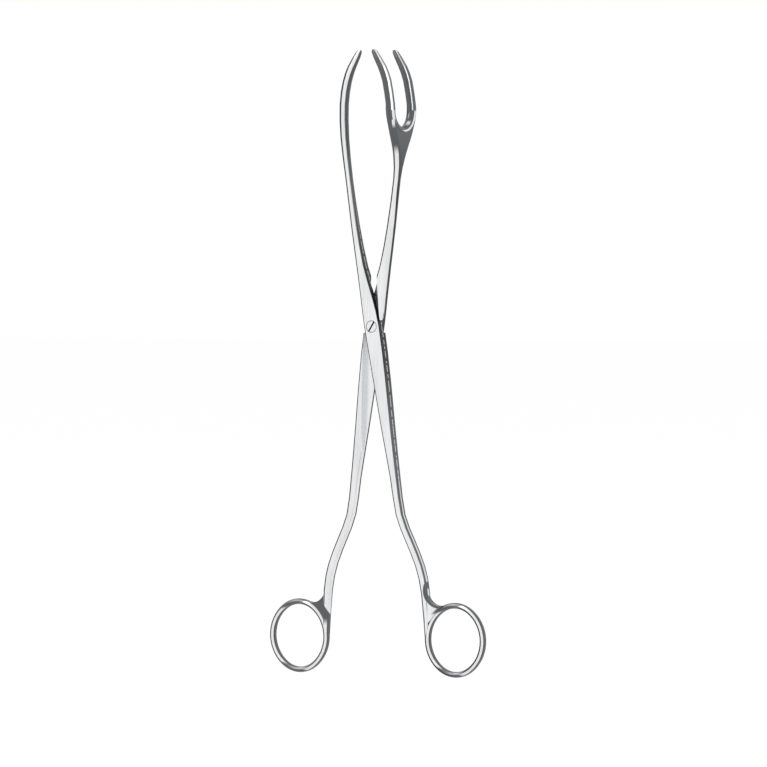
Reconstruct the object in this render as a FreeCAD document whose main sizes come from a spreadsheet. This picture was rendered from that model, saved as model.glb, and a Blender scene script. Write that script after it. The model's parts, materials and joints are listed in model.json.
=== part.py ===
import FreeCAD, Part
import math
import os
import Sketcher

# Three-prong sterilizing forceps, 300 mm long, held upright with the jaws up.
# Origin: the pivot, midway through the joint. +Z to the jaws, Y along the pivot axis,
# with the slotted head of the screw on the -Y side. The prong half has its handle on +X,
# the fork half is the same arm turned half a turn about Z, with a fork for a prong.

DIMENSIONS = {
    # Lap joint: each arm is halved in depth where the other one crosses it
    "joint_width": 8.4, "joint_depth": 6.0, "joint_corner": 0.7,
    "lap_gap": 0.06, "shoulder_gap": 0.35, "lap_clear_height": 3.0,
    "upper_lap_end": 28.0, "upper_lap_reach": 2.75,
    "lower_lap_end": 62.0, "lower_lap_reach": 6.75, "lap_side": 14.0,
    # Pivot screw
    "head_radius": 2.9, "head_height": 1.3, "journal_radius": 2.0, "thread_radius": 1.7,
    "running_gap": 0.05, "head_sink": 0.05, "slot_width": 0.8, "slot_depth": 0.75,
    "slot_angle": 33.0, "screw_end_chamfer": 0.3,
    # Finger ring: four arcs round an oval hole
    "hole_width": 27.2, "hole_stretch": 3.0, "end_arc_tuck": 1.6,
    "ring_bar": 2.7, "ring_depth": 3.7, "ring_corner": 1.25, "ring_centre_height": 149.0,
    "gusset_top_rise": 21.5, "gusset_foot_rise": 7.0, "gusset_reach": 9.0,
    "gusset_hollow": 2.2, "gusset_depth": 3.5,
    # Fork
    "tine_spacing": 20.0,
}

# Each station is one level section of an arm: height above the pivot (below it for the
# lower arm, above the ring's centre for the foot), reach from the middle plane,
# width across, depth along the pivot axis and corner radius.
STATION_SIZES = ("height", "reach", "width", "depth", "corner")
FOOT = {
    "shank_foot": (1.0, 28.05, 2.7, 3.5, 1.1),
    "shank_low": (22.0, 26.9, 3.5, 4.4, 1.1),
}
LOWER_ARM = {
    "shank_turn": (114.0, 24.0, 3.7, 4.7, 1.0),
    "shank_slant": (102.0, 18.7, 3.8, 4.8, 1.0),
    "shank_bend": (90.0, 13.6, 3.6, 4.8, 1.0),
    "shank_top": (72.0, 10.75, 3.9, 5.0, 1.0),
    "lap_end": (48.0, 7.1, 5.6, 5.6, 0.9),
    "lap_middle": (25.0, 3.85, 7.3, 5.8, 0.8),
}
UPPER_ARM = {
    "crossing": (14.0, 2.75, 6.8, 6.0, 0.8),
    "neck": (29.0, 6.4, 4.3, 5.2, 1.0),
    "taper": (48.0, 9.9, 3.6, 4.2, 1.2),
    "waist": (70.0, 13.1, 3.3, 3.5, 1.3),
}
PRONG = {
    "prong_root": (90.0, 15.4, 4.0, 4.1, 1.7),
    "prong_belly": (106.0, 15.6, 4.3, 4.3, 1.9),
    "prong_bend": (117.0, 13.8, 4.4, 4.2, 1.9),
    "prong_taper": (124.0, 11.1, 4.4, 3.8, 1.8),
    "prong_point": (128.4, 8.6, 3.8, 3.2, 1.5),
    "prong_end": (130.9, 7.25, 3.0, 2.6, 1.25),
    "prong_tip": (131.9, 6.75, 1.7, 1.5, 0.7),
}
WEB = {
    "web_start": (79.0, 14.3, 3.8, 6.2, 1.5),
    "web_low": (85.0, 15.0, 4.1, 10.6, 1.8),
    "web_high": (91.5, 15.5, 4.2, 17.2, 1.9),
    "web_top": (98.5, 15.7, 4.4, 22.8, 2.0),
}
BEND = {"bend_end": (103.0, 15.7, 4.5, 4.5, 2.0)}
# The tines follow the prong from these stations up.
TINE_STATIONS = ("prong_belly", "prong_bend", "prong_taper", "prong_point", "prong_end",
                 "prong_tip")
STEPS = 2           # level sections from one station to the next
SHORT_STRETCH = 6.0  # a shorter stretch runs straight from station to station

doc = FreeCAD.newDocument("forceps")


def write_sheet():
    """Write every driving dimension into the sheet, one named row each."""
    sheet = doc.addObject("Spreadsheet::Sheet", "dims")
    values = dict(DIMENSIONS)
    for stations in (FOOT, LOWER_ARM, UPPER_ARM, PRONG, WEB, BEND):
        for station, numbers in stations.items():
            for size, number in zip(STATION_SIZES, numbers):
                values[station + "_" + size] = number
    for row, (name, number) in enumerate(values.items(), start=1):
        sheet.set("A%d" % row, name)
        sheet.set("B%d" % row, str(number))
        sheet.setAlias("B%d" % row, name)
    doc.recompute()
    return sheet


def number(expression):
    """What an expression of named sizes comes to."""
    found = dims.evalExpression(expression)
    return float(getattr(found, "Value", found))


def point(x, y):
    return FreeCAD.Vector(x, y, 0)


def new_sketch(body, name, role, place):
    """A sketch on one of the body's own origin planes, moved by named sizes."""
    sketch = body.newObject("Sketcher::SketchObject", name)
    plane = next(f for f in body.Origin.OriginFeatures if f.Role == role)
    sketch.AttachmentSupport = (plane, [""])
    sketch.MapMode = "FlatFace"
    for axis, expression in place.items():
        sketch.setExpression("AttachmentOffset.Base." + axis, expression)
    return sketch


def constrain(sketch, kind, *geometry):
    sketch.addConstraint(Sketcher.Constraint(kind, *geometry))


def bind(sketch, kind, geometry, expression):
    """Add one dimension to a sketch and tie it to the sheet."""
    index = sketch.addConstraint(Sketcher.Constraint(kind, *geometry, number(expression)))
    sketch.setExpression("Constraints[%d]" % index, expression)


def pin_point(sketch, vertex, across, along):
    bind(sketch, "DistanceX", (-1, 1) + vertex, across)
    bind(sketch, "DistanceY", (-1, 1) + vertex, along)


def polygon(sketch, corners):
    """Closed outline; each corner is one expression across and one along."""
    points = [point(number(across), number(along)) for across, along in corners]
    count = len(points)
    for i in range(count):
        sketch.addGeometry(Part.LineSegment(points[i], points[(i + 1) % count]))
    for i in range(count):
        constrain(sketch, "Coincident", i, 2, (i + 1) % count, 1)
    for i, (across, along) in enumerate(corners):
        pin_point(sketch, (i, 1), across, along)


def rounded_section(body, name, role, place, width, depth, corner):
    """Rectangle with round corners, centred on its place."""
    sketch = new_sketch(body, name, role, place)
    half_w, half_d, r = number(width) / 2, number(depth) / 2, number(corner)
    corners = [(-half_w, -half_d), (half_w, -half_d), (half_w, half_d), (-half_w, half_d)]
    turns = [(1, 0), (0, 1), (-1, 0), (0, -1)]
    for i, ((x, y), (dx, dy)) in enumerate(zip(corners, turns)):
        next_x, next_y = corners[(i + 1) % 4]
        sketch.addGeometry(Part.LineSegment(point(x + dx * r, y + dy * r),
                                            point(next_x - dx * r, next_y - dy * r)))
    for i, (x, y) in enumerate(corners):
        centre = point(x - math.copysign(r, x), y - math.copysign(r, y))
        circle = Part.Circle(centre, FreeCAD.Vector(0, 0, 1), r)
        start = (i + 2) * math.pi / 2
        sketch.addGeometry(Part.ArcOfCircle(circle, start, start + math.pi / 2))
    for i in range(4):
        constrain(sketch, "Tangent", 4 + i, 2, i, 1)
        constrain(sketch, "Tangent", i, 2, 4 + (i + 1) % 4, 1)
        constrain(sketch, "Vertical" if i % 2 else "Horizontal", i)
    for i in range(3):
        constrain(sketch, "Equal", 4, 5 + i)
    constrain(sketch, "Symmetric", 0, 1, 2, 1, -1, 1)
    bind(sketch, "DistanceX", (3, 1, 1, 1), width)
    bind(sketch, "DistanceY", (0, 1, 2, 1), depth)
    bind(sketch, "Radius", (4,), corner)
    return sketch


def bar_section(body, name, role, place, width, depth, corner):
    """Section of a bent bar: each corner is taken off in two flats."""
    sketch = new_sketch(body, name, role, place)
    corners = []
    for across, along, angles in ((1, 1, (0, 45, 90)), (-1, 1, (90, 45, 0)),
                                  (-1, -1, (0, 45, 90)), (1, -1, (90, 45, 0))):
        for angle in angles:
            corners.append((
                "%d * (%s / 2 - %s * (1 - cos(%d deg)))" % (across, width, corner, angle),
                "%d * (%s / 2 - %s * (1 - sin(%d deg)))" % (along, depth, corner, angle)))
    polygon(sketch, corners)
    return sketch


def turn_about(body, name, section, upright, offset, angle, midplane):
    """Revolve a section about a line beside it, parallel to the pivot axis or across it."""
    reach = number(offset)
    ends = [point(reach, -1), point(reach, 1)] if upright else [point(-1, reach), point(1, reach)]
    axis = section.addGeometry(Part.LineSegment(*ends), True)
    constrain(section, "Vertical" if upright else "Horizontal", axis)
    bind(section, "DistanceX" if upright else "DistanceY", (-1, 1, axis, 1), offset)
    turned = body.newObject("PartDesign::Revolution", name)
    turned.Profile = section
    turned.ReferenceAxis = (section, ["Axis0"])
    turned.Midplane = midplane
    turned.setExpression("Angle", angle)
    doc.recompute()
    return turned


def ring(body, side):
    """Finger ring: a rounded bar turned through four arcs that meet in line."""
    centre = "%d * (dims.shank_foot_reach + (dims.hole_width + dims.ring_bar) / 2)" % side
    level = "-dims.ring_centre_height"
    end_shift = "(dims.hole_stretch / 2 + dims.end_arc_tuck)"
    side_shift = "((%s ^ 2 - dims.end_arc_tuck ^ 2) / (2 * dims.end_arc_tuck))" % end_shift
    side_angle = "2 * atan2(%s; %s)" % (end_shift, side_shift)
    half_width = "(dims.hole_width + dims.ring_bar) / 2"
    half_height = "((dims.hole_width + dims.hole_stretch + dims.ring_bar) / 2)"
    for name, sign in (("inner", -side), ("outer", side)):
        section = bar_section(body, name + "_bar_section", "XY_Plane",
                              {"x": "%s + %d * %s" % (centre, sign, half_width), "z": level},
                              "dims.ring_bar", "dims.ring_depth", "dims.ring_corner")
        turn_about(body, name + "_bar", section, True,
                   "%d * (%s + %s)" % (-sign, half_width, side_shift), side_angle, True)
    for name, sign in (("top", 1), ("bottom", -1)):
        section = bar_section(body, name + "_bar_section", "YZ_Plane",
                              {"y": "%s + %d * %s" % (level, sign, half_height), "z": centre},
                              "dims.ring_depth", "dims.ring_bar", "dims.ring_corner")
        turn_about(body, name + "_bar", section, False,
                   "%d * (%s - %s)" % (-sign, half_height, end_shift),
                   "180 deg - " + side_angle, True)


def ring_gusset(body, side):
    """Small gusset with a hollow curve, between the shank and the top of the ring."""
    sketch = new_sketch(body, "gusset_outline", "XZ_Plane", {})
    foot = "%d * dims.shank_foot_reach" % side
    reach = "%d * (dims.shank_foot_reach + dims.gusset_reach)" % side
    top = "dims.gusset_top_rise - dims.ring_centre_height"
    bottom = "dims.gusset_foot_rise - dims.ring_centre_height"
    rim_rise = "(dims.hole_width + dims.hole_stretch + dims.ring_bar) / 2"
    rim = rim_rise + " - dims.ring_centre_height"
    chord = "(dims.gusset_reach ^ 2 + (dims.gusset_top_rise - %s) ^ 2)" % rim_rise
    bulge = "((%s / 4 + dims.gusset_hollow ^ 2) / (2 * dims.gusset_hollow))" % chord
    upper, lower = point(number(foot), number(top)), point(number(reach), number(rim))
    radius = number(bulge)
    outward = point(side * abs(lower.y - upper.y), abs(lower.x - upper.x)).normalize()
    centre = (upper + lower) / 2 + outward * (radius - number("dims.gusset_hollow"))
    angles = sorted(math.atan2(end.y - centre.y, end.x - centre.x) % math.tau
                    for end in (upper, lower))
    circle = Part.Circle(centre, FreeCAD.Vector(0, 0, 1), radius)
    low_inner = point(number(foot), number(bottom))
    sketch.addGeometry(Part.ArcOfCircle(circle, *angles))
    sketch.addGeometry(Part.LineSegment(upper, low_inner))
    sketch.addGeometry(Part.LineSegment(low_inner, lower))
    upper_end, lower_end = (1, 2) if side > 0 else (2, 1)
    constrain(sketch, "Coincident", 0, upper_end, 1, 1)
    constrain(sketch, "Coincident", 1, 2, 2, 1)
    constrain(sketch, "Coincident", 2, 2, 0, lower_end)
    pin_point(sketch, (1, 1), foot, top)
    pin_point(sketch, (2, 1), foot, bottom)
    pin_point(sketch, (2, 2), reach, rim)
    bind(sketch, "Radius", (0,), bulge)
    pad = body.newObject("PartDesign::Pad", "ring_gusset")
    pad.Profile = sketch
    pad.Midplane = True
    pad.setExpression("Length", "dims.gusset_depth")
    doc.recompute()


def station(name, side, up):
    """The expressions for one station of an arm, on its own side of the middle plane."""
    place = {size: "dims.%s_%s" % (name, size) for size in STATION_SIZES}
    if name in FOOT:
        place["height"] = "(dims.ring_centre_height - %s)" % place["height"]
    place["reach"] = "(%d * %s)" % (side, place["reach"])
    place["height"] = "(%d * %s)" % (up, place["height"])
    return place


def joint_station():
    return {"height": "0", "reach": "0", "width": "dims.joint_width",
            "depth": "dims.joint_depth", "corner": "dims.joint_corner"}


def blend(before, start, end, after, share):
    """Expressions part of the way from start to end, on a smooth curve through both."""
    weights = ((-share + 2 * share ** 2 - share ** 3) / 2,
               (2 - 5 * share ** 2 + 3 * share ** 3) / 2,
               (share + 4 * share ** 2 - 3 * share ** 3) / 2,
               (-share ** 2 + share ** 3) / 2)
    return {size: " + ".join("%.6f * %s" % (weight, place[size])
                             for weight, place in zip(weights, (before, start, end, after)))
            for size in STATION_SIZES}


def arm_sections(body, name, chain, across=0):
    """Level sections along a chain of stations, a few to each stretch."""
    sections = []
    last = len(chain) - 1
    for i, place in enumerate(chain):
        rise = number(chain[min(i + 1, last)]["height"]) - number(place["height"])
        for step in range(STEPS if abs(rise) >= SHORT_STRETCH else 1):
            if step:
                place = blend(chain[max(i - 1, 0)], chain[i], chain[i + 1],
                              chain[min(i + 2, last)], step / STEPS)
            sections.append(rounded_section(
                body, "%s_section_%d_%d" % (name, i, step), "XY_Plane",
                {"x": place["reach"], "z": place["height"],
                 "y": "%d * dims.tine_spacing / 2" % across},
                place["width"], place["depth"], place["corner"]))
    return sections


def loft(body, name, sections):
    """Solid through level sections, joined to what the body has."""
    feature = body.newObject("PartDesign::AdditiveLoft", name)
    feature.Profile = sections[0]
    feature.Sections = sections[1:]
    feature.Ruled = True
    doc.recompute()


def require_cut(body, feature):
    """Recompute, and stop if the newest feature took no material away."""
    solids = [f for f in body.Group if f.isDerivedFrom("PartDesign::Feature")]
    before = solids[solids.index(feature) - 1].Shape.Volume
    doc.recompute()
    if feature.Shape.Volume >= before:
        raise RuntimeError(body.Label + ": " + feature.Name + " cuts nothing")


def lap_recess(body, side):
    """Half of the joint's depth is cut away where the other arm swings across."""
    sketch = new_sketch(body, "lap_outline", "XZ_Plane",
                        {"z": "%d * dims.lap_gap / 2" % side})
    shoulder = "(dims.joint_width / 2 + dims.shoulder_gap)"
    outline = [
        ("-dims.lap_side", "dims.lap_clear_height"),
        ("-" + shoulder, "dims.lap_clear_height"),
        ("-dims.upper_lap_reach", "dims.upper_lap_end"),
        ("dims.lap_side", "dims.upper_lap_end"),
        ("dims.lap_side", "-dims.lap_clear_height"),
        (shoulder, "-dims.lap_clear_height"),
        ("dims.lower_lap_reach", "-dims.lower_lap_end"),
        ("-dims.lap_side", "-dims.lower_lap_end"),
    ]
    polygon(sketch, [("%d * (%s)" % (side, across), along) for across, along in outline])
    pocket = body.newObject("PartDesign::Pocket", "lap_recess")
    pocket.Profile = sketch
    pocket.setExpression("Length", "dims.joint_depth")
    pocket.Reversed = side < 0
    require_cut(body, pocket)


def turned_cut(body, name, corners):
    """Round cut about the pivot axis, from an outline of radius and depth."""
    sketch = new_sketch(body, name + "_outline", "XY_Plane", {})
    polygon(sketch, corners)
    groove = body.newObject("PartDesign::Groove", name)
    groove.Profile = sketch
    groove.ReferenceAxis = (sketch, ["V_Axis"])
    groove.Angle = 360
    require_cut(body, groove)


def screw_seat(body):
    """Counterbore for the head and running bore for the journal, in the front lap."""
    head = "dims.head_radius + dims.running_gap"
    journal = "dims.journal_radius + dims.running_gap"
    floor = "-dims.joint_depth / 2 + dims.head_height + dims.running_gap"
    turned_cut(body, "screw_seat", [
        ("0", "-dims.joint_depth"), (head, "-dims.joint_depth"), (head, floor),
        (journal, floor), (journal, "dims.joint_depth / 2"), ("0", "dims.joint_depth / 2"),
    ])


def thread_hole(body):
    """Plain hole that stands for the thread, through the rear lap."""
    turned_cut(body, "thread_hole", [
        ("0", "-dims.joint_depth"), ("dims.thread_radius", "-dims.joint_depth"),
        ("dims.thread_radius", "dims.joint_depth"), ("0", "dims.joint_depth"),
    ])


def fork_jaw(body):
    """Two tines on a round U, whose foot is already lofted as a web."""
    slot = new_sketch(body, "crotch_outline", "YZ_Plane", {"y": "dims.bend_end_height"})
    slot.addGeometry(Part.Circle(point(0, 0), FreeCAD.Vector(0, 0, 1),
                                 number("dims.tine_spacing / 2")))
    constrain(slot, "Coincident", 0, 3, -1, 1)
    bind(slot, "Radius", (0,), "dims.tine_spacing / 2")
    crotch = body.newObject("PartDesign::Pocket", "crotch")
    crotch.Profile = slot
    crotch.Type = "ThroughAll"
    crotch.Midplane = True
    require_cut(body, crotch)

    section = bar_section(body, "bend_section", "XY_Plane",
                          {"x": "dims.bend_end_reach", "y": "dims.tine_spacing / 2",
                           "z": "dims.bend_end_height"},
                          "dims.bend_end_width", "dims.bend_end_depth", "dims.bend_end_corner")
    bend = turn_about(body, "fork_bend", section, False, "-dims.tine_spacing / 2",
                      "180 deg", False)
    if bend.Shape.BoundBox.ZMax > number("dims.bend_end_height") + 1:
        bend.Reversed = True
        doc.recompute()

    chain = [station(name, 1, 1) for name in ("bend_end",) + TINE_STATIONS]
    for across, name in ((-1, "front_tine"), (1, "rear_tine")):
        loft(body, name, arm_sections(body, name, chain, across))


def forceps_half(label, side, jaw):
    """One forging: ring, shank, joint and the arm up to its jaw."""
    body = doc.addObject("PartDesign::Body", label)
    body.Label = label
    ring(body, side)
    ring_gusset(body, side)
    chain = [station(name, side, -1) for name in list(FOOT) + list(LOWER_ARM)]
    chain.append(joint_station())
    chain += [station(name, -side, 1) for name in list(UPPER_ARM) + list(jaw)]
    loft(body, "arm", arm_sections(body, "arm", chain))
    return body


def prong_half():
    body = forceps_half("prong_half", 1, PRONG)
    lap_recess(body, 1)
    screw_seat(body)
    return body


def fork_half():
    body = forceps_half("fork_half", -1, WEB)
    fork_jaw(body)
    lap_recess(body, -1)
    thread_hole(body)
    return body


def pivot_screw():
    """Slotted head sunk in the front lap, journal, and shank fast in the rear lap."""
    body = doc.addObject("PartDesign::Body", "pivot_screw")
    body.Label = "pivot_screw"
    sketch = new_sketch(body, "screw_outline", "XY_Plane", {})
    top = "-dims.joint_depth / 2 + dims.head_sink"
    under = "-dims.joint_depth / 2 + dims.head_height"
    seat = "dims.lap_gap / 2"
    end = "dims.joint_depth / 2 - dims.head_sink"
    polygon(sketch, [
        ("0", top), ("dims.head_radius", top), ("dims.head_radius", under),
        ("dims.journal_radius", under), ("dims.journal_radius", seat),
        ("dims.thread_radius", seat),
        ("dims.thread_radius", end + " - dims.screw_end_chamfer"),
        ("dims.thread_radius - dims.screw_end_chamfer", end), ("0", end),
    ])
    turned = body.newObject("PartDesign::Revolution", "turned_screw")
    turned.Profile = sketch
    turned.ReferenceAxis = (sketch, ["V_Axis"])
    turned.Angle = 360
    doc.recompute()

    slot = new_sketch(body, "slot_outline", "XZ_Plane", {"z": "dims.joint_depth / 2"})
    half_slot, past = "dims.slot_width / 2", "dims.head_radius * 1.1"
    polygon(slot, [("-" + half_slot, "-" + past), (half_slot, "-" + past),
                   (half_slot, past), ("-" + half_slot, past)])
    slot.setExpression("AttachmentOffset.Rotation.Angle", "-dims.slot_angle")
    cut = body.newObject("PartDesign::Pocket", "driver_slot")
    cut.Profile = slot
    cut.setExpression("Length", "dims.slot_depth + dims.head_sink")
    require_cut(body, cut)
    return body


def check_document(bodies):
    """Every feature is sound and every piece is one valid solid."""
    for thing in doc.Objects:
        if "Invalid" in thing.State or "Error" in thing.State:
            raise RuntimeError(thing.Name + " did not compute")
    for body in bodies:
        shape = body.Shape
        if shape.isNull() or not shape.isValid() or len(shape.Solids) != 1:
            raise RuntimeError(body.Label + " is not one valid solid")


dims = write_sheet()
pieces = [prong_half(), fork_half(), pivot_screw()]
doc.recompute()
check_document(pieces)
os.makedirs("parts", exist_ok=True)
for piece in pieces:
    piece.Shape.exportStep("parts/%s.step" % piece.Label)
    print(piece.Label, round(piece.Shape.Volume, 1), piece.Shape.BoundBox)
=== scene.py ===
"""Sterilizing forceps in steel, on white, as the photograph shows them, with painted highlights and
painted shade in the steel's colour.
"""
import json
import math
from functools import partial, reduce

import bpy
from mathutils import Matrix, Vector


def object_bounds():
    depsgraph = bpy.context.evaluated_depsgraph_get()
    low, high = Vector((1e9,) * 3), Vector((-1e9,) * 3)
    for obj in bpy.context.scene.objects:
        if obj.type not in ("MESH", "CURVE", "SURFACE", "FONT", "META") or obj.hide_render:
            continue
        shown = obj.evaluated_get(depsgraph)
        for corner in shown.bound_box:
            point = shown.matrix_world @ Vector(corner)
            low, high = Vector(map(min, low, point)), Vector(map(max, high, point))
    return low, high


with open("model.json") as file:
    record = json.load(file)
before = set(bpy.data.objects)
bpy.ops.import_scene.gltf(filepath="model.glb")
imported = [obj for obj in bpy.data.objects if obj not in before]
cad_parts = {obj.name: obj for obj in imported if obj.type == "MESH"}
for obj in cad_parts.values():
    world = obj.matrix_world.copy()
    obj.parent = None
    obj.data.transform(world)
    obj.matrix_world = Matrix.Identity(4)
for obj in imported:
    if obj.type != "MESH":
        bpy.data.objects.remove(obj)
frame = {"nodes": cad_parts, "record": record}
cad_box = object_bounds()

MILLIMETRE = 0.001
TO_MILLIMETRES = 1 / MILLIMETRE

# Camera: the photograph's frame is 767 pixels wide, and the pivot sits left of and above its middle
FRAME_PIXELS = 767
PIXEL_SIZE = 0.4777 * MILLIMETRE
PIVOT_PIXEL = (374.4, 326.4)
CAMERA_AZIMUTH = math.radians(30)
CAMERA_ELEVATION = math.radians(1.8)
CAMERA_ROLL = math.radians(-0.5)
CAMERA_DISTANCE = 3.0
CAMERA_REACH = 100.0
SENSOR_WIDTH = 36.0

# Studio: places and widths in metres, and each lamp's power in watts
WHITE = (1, 1, 1, 1)
WORLD_LIGHT = 0.55
FLOOR_WIDTH = 12.0
FLOOR_DROP = 0.008  # clears the finger rings when the jaws close
FLOOR_TONE = (0.85, 0.85, 0.85, 1)
FLOOR_GLOW = 1.12
FLOOR_GLOW_SHARE = 0.8
LAMP_WIDTH = 1.2
LAMPS = {"key": ((-1.2, -1.6, 1.4), 18), "fill": ((1.6, -0.6, 0.8), 6)}

# Steel: the light tone of painted highlights and the dark tone of painted shade, and what outlines and
# the screw's slot keep of the dark one as deeper painted shade
PAINTED_HIGHLIGHT_TONE = (0.83, 0.835, 0.845)
PAINTED_SHADE_TONE = (0.115, 0.118, 0.122)
OUTLINE_TONE = 0.3
SLOT_TONE = 0.15

# Fine marks: the noise's scale along each axis, and what it makes of the tones
STREAK_SCALE = (2600, 2600, 45)
STREAK_DETAIL = 3.0
STREAK_LIGHT = (0.93, 1.03)
STREAK_DEPTH = 0.05 * MILLIMETRE
STREAK_STRENGTH = 0.05
CLOUD_SCALE = (150, 150, 35)
CLOUD_DETAIL = 2.0
CLOUD_LIGHT = (0.9, 1.03)
MARK_NOISE = (0.3, 0.7)
ROUGH_NOISE = (0.25, 0.75)
ROUGHNESS = (0.22, 0.34)

# The tones' places are in millimetres from the pivot, upwards, to the right and backwards.
# A pair is the band of values in which a tone starts or ends.
# A list is a track of (height, value) points, with straight lines between them.
SIDE_FACE = (0.6, 0.85)  # the X part of the normal, without its sign

# Prong half: painted highlights on the front, on the flat inner side and as a bright crown line, and
# painted shade on the dark curve above the ring
PRONG_LIGHT_ANGLE = 14.0
PRONG_LIGHT = (0.925, 0.955)  # how squarely the surface faces that angle
FLAT_SIDE = (-0.96, -0.9)  # the X part of the normal
FLAT_SIDE_MIDDLE = -30.0
FLAT_SIDE_REACH = (28, 34)
CROWN_DEPTH = -0.15
CROWN_WIDTH = [(-125, 0.85), (-95, 0.6), (-60, 0.28), (30, 0.22), (60, 0.0)]
CROWN_LIGHT = 0.8
DASH_SCALE = (0, 0, 420)
DASH_DETAIL = 1.0
DASH_NOISE = (0.42, 0.5)
DASHES_START = (-80, -60)
HOLLOW_CENTRE = (34.97 * MILLIMETRE, 0, -125.7 * MILLIMETRE)
HOLLOW_CURVE_START = (6.5, 6.9)
HOLLOW_CURVE_END = (8.1, 8.6)
# Painted shade, deeper where the surface faces left and around the joint
PRONG_OUTLINE = (-0.3, 0.0)  # the X part of the normal
PRONG_DARK = [(-45, 1.0), (-15, 0.32), (25, 0.32), (60, 1.0)]

# Fork half: painted highlights on the faces, and painted shade on the rear edge, on the web and as a
# painted shadow on the lap face beside the prong half
FORK_LIGHT_ANGLE = [(35, 50.0), (75, 22.0), (86, 22.0), (100, 56.0)]
FORK_LIGHT_LIMIT = [(35, 0.6), (75, 0.9), (88, 0.9), (100, 0.94)]
FORK_LIGHT_SOFTNESS = (-0.03, 0.03)
REAR_EDGE = [(-90, 0.5), (-20, 1.2), (-5, 0.8), (-4, -0.5), (3, -0.5), (4, 0.5), (10, 0.4), (75, -1.8)]
REAR_EDGE_SOFTNESS = (-0.1, 0.15)
# Painted shadow on the fork half's lap face, beside the prong half's edge
LAP_SHADOW_EDGE = [(0, 6.7), (28, -0.2)]
LAP_SHADOW_SOFTNESS = (-0.2, 0.2)
LAP_SHADOW_DEPTH = (0.2, 0.4)
LAP_SHADOW_START = (2, 3)
LAP_SHADOW_SHARE = 0.82
WEB_START = (82, 87)
WEB_END = (94, 97)
# Painted shade, deeper along the arms between the ring and the fork
FORK_DARK = [(-133, 1.0), (-126, OUTLINE_TONE), (60, OUTLINE_TONE), (90, 1.0)]

# The fork's U: painted highlight curling along its bottom
CURL_HEIGHT = 103.0
CURL_RADIUS = 9.8
CURL_WIDTH = [(-3.0, 0.0), (0.0, 0.45), (8.0, 0.6)]  # by depth
CURL_SOFTNESS = (-0.2, 0.1)
CURL_TOP = (-1.0, 0.5)

# Finger rings: distances from the ring's centre are shares of its hole's half width and height
HOLE_HALF_WIDTH = 13.6 * MILLIMETRE
HOLE_HALF_HEIGHT = 15.1 * MILLIMETRE
# Painted highlight along the rings' fronts, lost in patches of painted shade at top and bottom
RING_LIGHT_ANGLE = 12.0
RING_LIGHT = (0.88, 0.95)  # how squarely the surface faces that angle
RING_PATCH = (0.98, 1.06)
RING_PATCH_LEAN = 0.25
RING_PATCH_BAR = (1.16, 1.22)
PRONG_RING_EDGE = (1.2, 1.3)
FORK_RING_BAR = (1.14, 1.19)
FORK_RING_LOW = (-144, -140)
GUSSET_SIDE = (1.04, 1.07)
GUSSET_TOP = (-126, -125)
FOOT_SLANT = 16.5
FOOT_DEPTH_SLANT = 0.7
FOOT_END = (-118.0, -117.2)

# Screw: painted shade darkens the head's rim outwards, and a painted highlight covers its face down to
# the slot, which keeps painted shade
RIM_RADIUS = (2.3, 2.8)
RIM_LIGHT = (1.0, 0.35)  # inside and outside of the rim
FACE_DEPTH = (2.85, 2.93)


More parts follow.
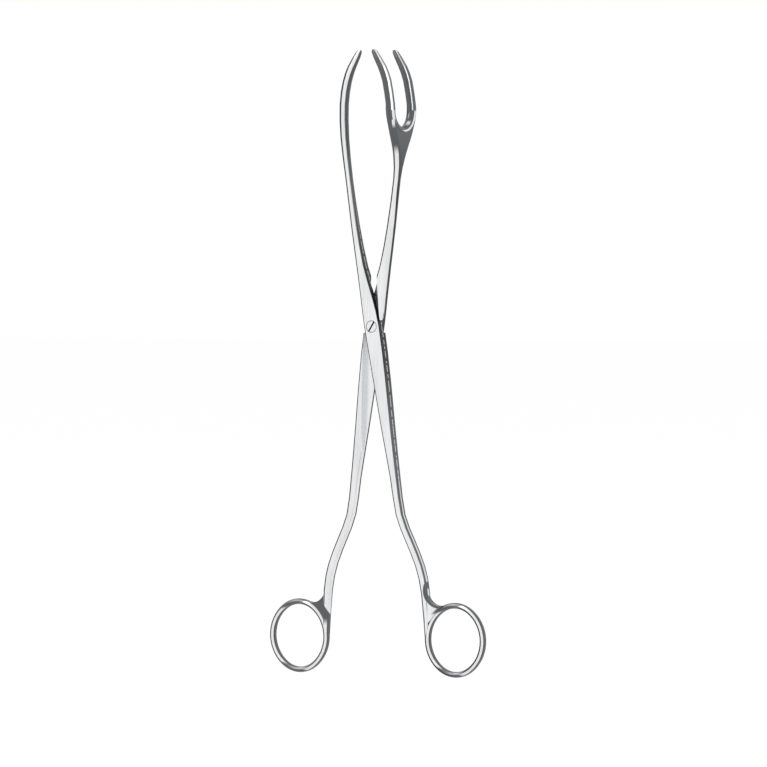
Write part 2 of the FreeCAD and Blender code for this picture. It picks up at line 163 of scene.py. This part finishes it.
class Nodes:
    """One node tree, and the sums that tones are made of. A value is a socket or a number."""

    def __init__(self, tree):
        tree.nodes.clear()
        self.tree = tree

    def add(self, kind, inputs=None, **settings):
        """Adds a node and fills its inputs by name or number."""
        node = self.tree.nodes.new(kind)
        for name, setting in settings.items():
            setattr(node, name, setting)
        for name, value in (inputs or {}).items():
            if isinstance(value, bpy.types.NodeSocket):
                self.tree.links.new(value, node.inputs[name])
            else:
                node.inputs[name].default_value = value
        return node

    def output(self, kind, surface):
        """Ends the tree in a surface."""
        self.add(kind, {"Surface": surface.outputs[0]})

    def calculate(self, operation, *values):
        """One sum on one or two values."""
        inputs = dict(enumerate(values))
        return self.add("ShaderNodeMath", inputs, operation=operation).outputs[0]

    def plus(self, first, second):
        return self.calculate("ADD", first, second)

    def minus(self, first, second):
        return self.calculate("SUBTRACT", first, second)

    def times(self, *factors):
        return reduce(partial(self.calculate, "MULTIPLY"), factors)

    def largest(self, *values):
        return reduce(partial(self.calculate, "MAXIMUM"), values)

    def size(self, value):
        """The value without its sign."""
        return self.calculate("ABSOLUTE", value)

    def without(self, share):
        """What is left of 1 without a share."""
        return self.minus(1.0, share)

    def ramp(self, source, band, values, curve="LINEAR"):
        """Goes from the first value to the second while the source crosses a band."""
        inputs = {"Value": source, "From Min": band[0], "From Max": band[1],
                  "To Min": values[0], "To Max": values[1]}
        return self.add("ShaderNodeMapRange", inputs, interpolation_type=curve).outputs["Result"]

    def above(self, source, band, most=1.0):
        """0 below a band, and most above it."""
        return self.ramp(source, band, (0.0, most), "SMOOTHSTEP")

    def below(self, source, band):
        """1 below a band, and 0 above it."""
        return self.ramp(source, band, (1.0, 0.0), "SMOOTHSTEP")

    def track(self, source, points):
        """Straight lines through (source, value) points, as a sum of ramps."""
        total = points[0][1]
        for (low, start), (high, end) in zip(points, points[1:]):
            total = self.plus(self.ramp(source, (low, high), (0.0, end - start)), total)
        return total

    def blend(self, share, first, second):
        """The first value where the share is 0, the second where it is 1."""
        return self.add("ShaderNodeMix", {0: share, 2: first, 3: second}).outputs[0]

    def vector(self, operation, first, second=(0, 0, 0)):
        """A sum on two vectors."""
        inputs = {0: first, 1: second}
        return self.add("ShaderNodeVectorMath", inputs, operation=operation).outputs["Vector"]

    def measure(self, operation, first, second=(0, 0, 0)):
        """A vector's length, or the dot product of two."""
        inputs = {0: first, 1: second}
        return self.add("ShaderNodeVectorMath", inputs, operation=operation).outputs["Value"]

    def scaled(self, vector, share):
        inputs = {0: vector, "Scale": share}
        return self.add("ShaderNodeVectorMath", inputs, operation="SCALE").outputs["Vector"]

    def parts(self, vector):
        """A vector's X, Y and Z."""
        return list(self.add("ShaderNodeSeparateXYZ", {"Vector": vector}).outputs)


class Steel(Nodes):
    """Material of one piece, with the places and directions that its tones follow."""

    def __init__(self, name):
        self.material = bpy.data.materials.new(name)
        self.material.use_nodes = True
        super().__init__(self.material.node_tree)
        coordinates = self.add("ShaderNodeTexCoord").outputs
        self.place = coordinates["Object"]
        self.normal = coordinates["Normal"]
        metres = self.parts(self.place)
        self.right, self.depth, self.height = [self.times(way, TO_MILLIMETRES) for way in metres]
        self.across = self.parts(self.normal)[0]
        self.sideways = self.above(self.size(self.across), SIDE_FACE)

    def level_normal(self):
        """The normal turned level, so that a tone runs along a curved arm to its tip."""
        return self.vector("NORMALIZE", self.vector("MULTIPLY", self.normal, (1, 1, 0)))

    def facing(self, normal, angle):
        """How squarely a surface faces the direction that is angle degrees from -Y to +X."""
        turn = self.calculate("RADIANS", angle)
        backwards = self.times(self.calculate("COSINE", turn), -1.0)
        direction = self.add("ShaderNodeCombineXYZ", {"X": self.calculate("SINE", turn), "Y": backwards})
        return self.size(self.measure("DOT_PRODUCT", normal, direction.outputs[0]))

    def offset(self, centre, scale):
        """The way from a centre, with its own scale along each axis."""
        return self.vector("MULTIPLY", self.vector("SUBTRACT", self.place, centre), scale)

    def radius(self, centre, scale):
        """The distance from a centre, with its own scale along each axis."""
        return self.measure("LENGTH", self.offset(centre, scale))

    def noise(self, scale, detail):
        """Noise stretched to its own scale along each axis."""
        stretched = self.add("ShaderNodeMapping", {"Vector": self.place, "Scale": scale})
        inputs = {"Vector": stretched.outputs[0], "Scale": 1.0, "Detail": detail}
        return self.add("ShaderNodeTexNoise", inputs).outputs[0]

    def mix_painted_tones(self, light, dark):
        """Mixes the painted shade tone and the painted highlight tone by the light, with fine marks
        along the bar.
        """
        streaks = self.noise(STREAK_SCALE, STREAK_DETAIL)
        clouds = self.noise(CLOUD_SCALE, CLOUD_DETAIL)
        marks = self.times(self.ramp(streaks, MARK_NOISE, STREAK_LIGHT),
                           self.ramp(clouds, MARK_NOISE, CLOUD_LIGHT))
        # Painted shade tone, deepened by dark, and painted highlight tone, varied by the fine marks
        shade_tone = self.scaled(PAINTED_SHADE_TONE, dark)
        highlight_tone = self.scaled(PAINTED_HIGHLIGHT_TONE, marks)
        tone = self.add("ShaderNodeMix", {0: light, 4: shade_tone, 5: highlight_tone}, data_type="VECTOR")
        bump = self.add("ShaderNodeBump", {"Height": streaks, "Strength": STREAK_STRENGTH,
                                           "Distance": STREAK_DEPTH})
        surface = self.add("ShaderNodeBsdfPrincipled", {
            "Base Color": tone.outputs[1], "Metallic": 1.0,
            "Roughness": self.ramp(streaks, ROUGH_NOISE, ROUGHNESS),
            "Normal": bump.outputs[0]})
        self.output("ShaderNodeOutputMaterial", surface)
        return self.material


def ring_place(steel, mount):
    """Distance, rise and run from a finger ring's centre. The distance is 1 on the hole's rim."""
    centre = next(m["pos_m"] for m in frame["record"]["mounts"] if m["name"] == mount)
    offset = steel.offset(tuple(centre), (1 / HOLE_HALF_WIDTH, 0, 1 / HOLE_HALF_HEIGHT))
    run, _, rise = steel.parts(offset)
    return steel.measure("LENGTH", offset), rise, run


def ring_light(steel, distance, rise, run):
    """Painted highlight in a strip along the front of a ring's bar, lost in patches of painted shade at
    top and bottom.
    """
    strip = steel.above(steel.facing(steel.normal, RING_LIGHT_ANGLE), RING_LIGHT)
    steep = steel.minus(steel.size(rise), steel.times(run, RING_PATCH_LEAN))
    patch = steel.times(steel.above(steep, RING_PATCH), steel.below(distance, RING_PATCH_BAR))
    return steel.times(strip, steel.without(patch))


def flat_side_light(steel):
    """Painted highlight on the flat of the prong half's inner side, below the joint."""
    from_middle = steel.size(steel.minus(steel.height, FLAT_SIDE_MIDDLE))
    return steel.times(steel.below(steel.across, FLAT_SIDE), steel.below(from_middle, FLAT_SIDE_REACH))


def crown_light(steel):
    """Fine painted highlight along the flank of the prong half, which is dark with painted shade, broken
    into dashes above the bend.
    """
    from_crown = steel.size(steel.minus(steel.depth, CROWN_DEPTH))
    line = steel.calculate("LESS_THAN", from_crown, steel.track(steel.height, CROWN_WIDTH))
    dashes = steel.above(steel.noise(DASH_SCALE, DASH_DETAIL), DASH_NOISE)
    unbroken = steel.below(steel.height, DASHES_START)
    return steel.times(line, steel.largest(dashes, unbroken), steel.sideways, CROWN_LIGHT)


def hollow_light(steel):
    """0 where shade is painted on the rounded edge of the curve between the right shank and its ring,
    else 1.
    """
    radius = steel.radius(HOLLOW_CENTRE, (TO_MILLIMETRES, 0, TO_MILLIMETRES))
    return steel.largest(steel.below(radius, HOLLOW_CURVE_START), steel.above(radius, HOLLOW_CURVE_END))


def prong_steel():
    """Front half: painted highlights on the front faces, painted shade on the flanks, and a fine painted
    highlight along the crown.
    """
    steel = Steel("prong_steel")
    front = steel.above(steel.facing(steel.level_normal(), PRONG_LIGHT_ANGLE), PRONG_LIGHT)
    arm = steel.largest(front, flat_side_light(steel), crown_light(steel))
    distance, rise, run = ring_place(steel, "prong_half_ring")
    near_ring = steel.below(distance, PRONG_RING_EDGE)
    light = steel.blend(near_ring, arm, ring_light(steel, distance, rise, run))
    # Painted shade, deeper where the surface faces left and around the joint
    outline = steel.ramp(steel.across, PRONG_OUTLINE, (OUTLINE_TONE, 1.0), "SMOOTHSTEP")
    dark = steel.times(steel.track(steel.height, PRONG_DARK), outline)
    return steel.mix_painted_tones(steel.times(light, hollow_light(steel)), dark)


def fork_faces(steel):
    """Painted highlights on the faces of the fork half, whose direction turns along the arm."""
    angle = steel.track(steel.height, FORK_LIGHT_ANGLE)
    limit = steel.track(steel.height, FORK_LIGHT_LIMIT)
    over_limit = steel.minus(steel.facing(steel.level_normal(), angle), limit)
    return steel.above(over_limit, FORK_LIGHT_SOFTNESS)


def rear_edge(steel):
    """Painted shade in a strip along the rear of the fork half's sides, over the whole side at the
    joint.
    """
    past_edge = steel.minus(steel.depth, steel.track(steel.height, REAR_EDGE))
    return steel.times(steel.above(past_edge, REAR_EDGE_SOFTNESS), steel.sideways)


def painted_lap_shadow(steel):
    """Painted shadow in a wedge on the fork half's lap face, beside the edge of the prong half."""
    past_edge = steel.minus(steel.right, steel.track(steel.height, LAP_SHADOW_EDGE))
    on_lap_face = steel.below(steel.size(steel.depth), LAP_SHADOW_DEPTH)
    start = steel.above(steel.height, LAP_SHADOW_START, LAP_SHADOW_SHARE)
    return steel.times(steel.below(past_edge, LAP_SHADOW_SOFTNESS), on_lap_face, start)


def curl_light(steel):
    """Painted highlight curling along the bottom of the fork's U, on the rear tine's side."""
    centre = (0, 0, CURL_HEIGHT * MILLIMETRE)
    radius = steel.radius(centre, (0, TO_MILLIMETRES, TO_MILLIMETRES))
    from_line = steel.size(steel.minus(radius, CURL_RADIUS))
    past_line = steel.minus(from_line, steel.track(steel.depth, CURL_WIDTH))
    rise = steel.minus(steel.height, CURL_HEIGHT)
    line = steel.below(past_line, CURL_SOFTNESS)
    return steel.times(line, steel.below(rise, CURL_TOP), steel.sideways)


def fork_ring_tones(steel):
    """Where the left ring's tones take over from the shank's, and the painted highlight on the ring."""
    distance, rise, run = ring_place(steel, "fork_half_ring")
    gusset = steel.times(steel.below(run, GUSSET_SIDE), steel.below(steel.height, GUSSET_TOP))
    slant = steel.plus(steel.times(run, FOOT_SLANT), steel.times(steel.depth, FOOT_DEPTH_SLANT))
    foot = steel.below(steel.plus(steel.height, slant), FOOT_END)
    on_bar = steel.below(distance, FORK_RING_BAR)
    low = steel.below(steel.height, FORK_RING_LOW)
    light = steel.times(ring_light(steel, distance, rise, run), steel.largest(on_bar, low))
    return steel.largest(foot, gusset), light


def fork_steel():
    """Rear half: painted highlights on the arms and as light ridges on the tines, and painted shade on
    the rear edges and the web.
    """
    steel = Steel("fork_steel")
    web = steel.times(steel.above(steel.height, WEB_START), steel.below(steel.height, WEB_END))
    # Painted shade on the rear edge and the web, and a painted shadow on the lap face
    dark_places = [rear_edge(steel), painted_lap_shadow(steel), web]
    faces = steel.times(fork_faces(steel), *[steel.without(dark) for dark in dark_places])
    arm = steel.largest(faces, curl_light(steel))
    near_ring, on_ring = fork_ring_tones(steel)
    light = steel.blend(near_ring, arm, on_ring)
    return steel.mix_painted_tones(light, steel.track(steel.height, FORK_DARK))


def screw_steel():
    """Turned head: painted highlight on the face, painted shade on the grey rim and in the dark slot."""
    steel = Steel("screw_steel")
    radius = steel.radius((0, 0, 0), (TO_MILLIMETRES, 0, TO_MILLIMETRES))
    rim = steel.ramp(radius, RIM_RADIUS, RIM_LIGHT, "SMOOTHSTEP")
    face = steel.above(steel.size(steel.depth), FACE_DEPTH)
    return steel.mix_painted_tones(steel.times(rim, face), SLOT_TONE)


def dress(node, material):
    """Gives every material slot of a piece the same material."""
    piece = frame["nodes"][node]
    if not piece.material_slots:
        piece.data.materials.append(material)
    for slot in piece.material_slots:
        slot.material = material


def seen_directly(nodes):
    """1 for rays from the camera, from a mirror or through glass, else 0."""
    path = nodes.add("ShaderNodeLightPath").outputs
    return nodes.largest(path["Is Camera Ray"], path["Is Glossy Ray"], path["Is Transmission Ray"])


def white_world():
    """White to the camera and in reflections, softer as a light."""
    world = bpy.data.worlds.new("studio")
    bpy.context.scene.world = world
    world.use_nodes = True
    nodes = Nodes(world.node_tree)
    strength = nodes.ramp(seen_directly(nodes), (0.0, 1.0), (WORLD_LIGHT, 1.0))
    background = nodes.add("ShaderNodeBackground", {"Color": WHITE, "Strength": strength})
    nodes.output("ShaderNodeOutputWorld", background)


def floor_white():
    """White that glows where it is seen directly, and keeps the object's shadow."""
    material = bpy.data.materials.new("floor_white")
    material.use_nodes = True
    nodes = Nodes(material.node_tree)
    matt = nodes.add("ShaderNodeBsdfDiffuse", {"Color": FLOOR_TONE})
    glow = nodes.add("ShaderNodeEmission", {"Color": WHITE, "Strength": FLOOR_GLOW})
    share = nodes.times(seen_directly(nodes), FLOOR_GLOW_SHARE)
    mixed = nodes.add("ShaderNodeMixShader", {0: share, 1: matt.outputs[0], 2: glow.outputs[0]})
    nodes.output("ShaderNodeOutputMaterial", mixed)
    return material


def add_floor():
    """Wide floor a little below the finger rings."""
    lowest = cad_box[0][2]
    bpy.ops.mesh.primitive_plane_add(size=FLOOR_WIDTH, location=(0, 0, lowest - FLOOR_DROP))
    floor = bpy.context.object
    floor.name = "floor"
    floor.data.materials.append(floor_white())


def add_lamp(name, place, power):
    """Large soft lamp aimed at the joint."""
    lamp = bpy.data.lights.new(name, "AREA")
    lamp.shape = "SQUARE"
    lamp.size = LAMP_WIDTH
    lamp.energy = power
    lamp_object = bpy.data.objects.new(name, lamp)
    bpy.context.collection.objects.link(lamp_object)
    lamp_object.location = place
    lamp_object.rotation_euler = (-Vector(place)).to_track_quat("-Z", "Y").to_euler()


def add_camera():
    """Long lens at the photograph's angle, with the pivot on its pixel."""
    back = Vector((math.sin(CAMERA_AZIMUTH) * math.cos(CAMERA_ELEVATION),
                   -math.cos(CAMERA_AZIMUTH) * math.cos(CAMERA_ELEVATION),
                   math.sin(CAMERA_ELEVATION)))
    level = Vector((math.cos(CAMERA_AZIMUTH), math.sin(CAMERA_AZIMUTH), 0))
    turn = Matrix.Rotation(CAMERA_ROLL, 3, back)
    right = turn @ level
    up = turn @ back.cross(level)
    middle = FRAME_PIXELS / 2
    target = (right * (middle - PIVOT_PIXEL[0]) - up * (middle - PIVOT_PIXEL[1])) * PIXEL_SIZE
    lens = bpy.data.cameras.new("camera")
    lens.sensor_width = SENSOR_WIDTH
    lens.lens = SENSOR_WIDTH * CAMERA_DISTANCE / (FRAME_PIXELS * PIXEL_SIZE)
    lens.clip_end = CAMERA_REACH
    camera = bpy.data.objects.new("camera", lens)
    bpy.context.collection.objects.link(camera)
    axes = Matrix((right, up, back)).transposed().to_4x4()
    camera.matrix_world = Matrix.Translation(target + back * CAMERA_DISTANCE) @ axes
    bpy.context.scene.camera = camera


def main():
    bpy.context.scene.view_settings.view_transform = "Standard"
    dress("prong_half", prong_steel())
    dress("fork_half", fork_steel())
    dress("pivot_screw", screw_steel())
    white_world()
    add_floor()
    for name, (place, power) in LAMPS.items():
        add_lamp(name, place, power)
    add_camera()


main()
